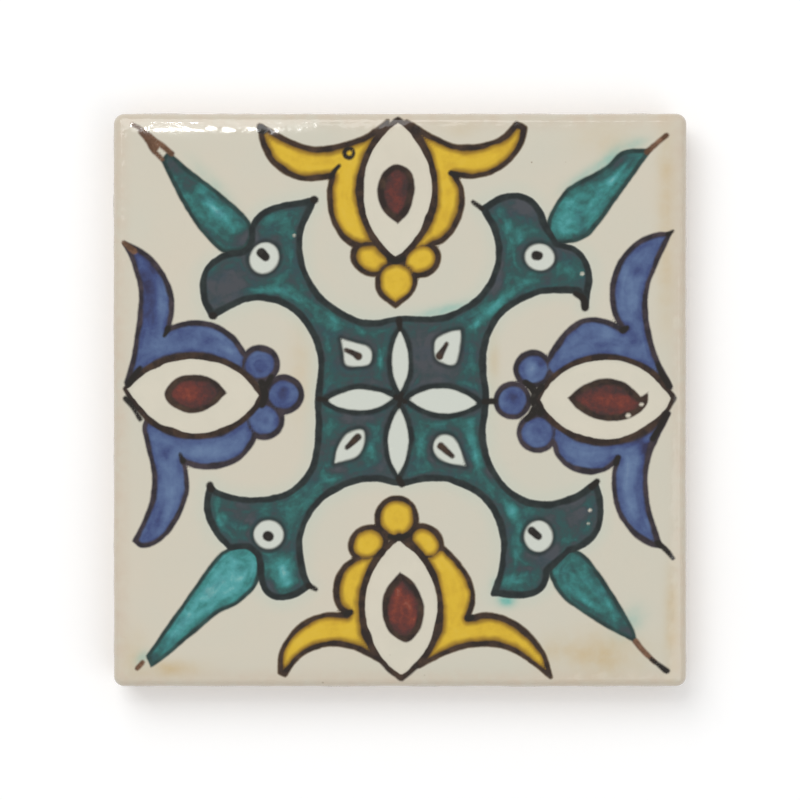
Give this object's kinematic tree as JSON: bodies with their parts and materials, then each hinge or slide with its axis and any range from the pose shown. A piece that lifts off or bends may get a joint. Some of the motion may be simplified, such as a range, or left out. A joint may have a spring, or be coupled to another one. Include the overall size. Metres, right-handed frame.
{
  "type": "pool tile",
  "caption": "Square hand-painted glazed tile with a traditional palmette and cross pattern, a rolled glazed edge, undercut sides and a flat bare back for bedding on a wall or pool shell.",
  "frame": {"origin": "middle of the flat unglazed back, which the tile rests and is bedded on", "axes": "+Z out through the painted face, +Y towards the top of the painted pattern, +X to its right"},
  "size_m": [0.1, 0.1, 0.01],
  "materials": {
    "painted_glaze": "glossy opaque white glaze painted in teal, yellow, blue and red-brown with dark outlines, over buff clay that is bare on the back"
  },
  "bodies": {
    "root": {"tile": "painted_glaze"}
  },
  "joints": []
}
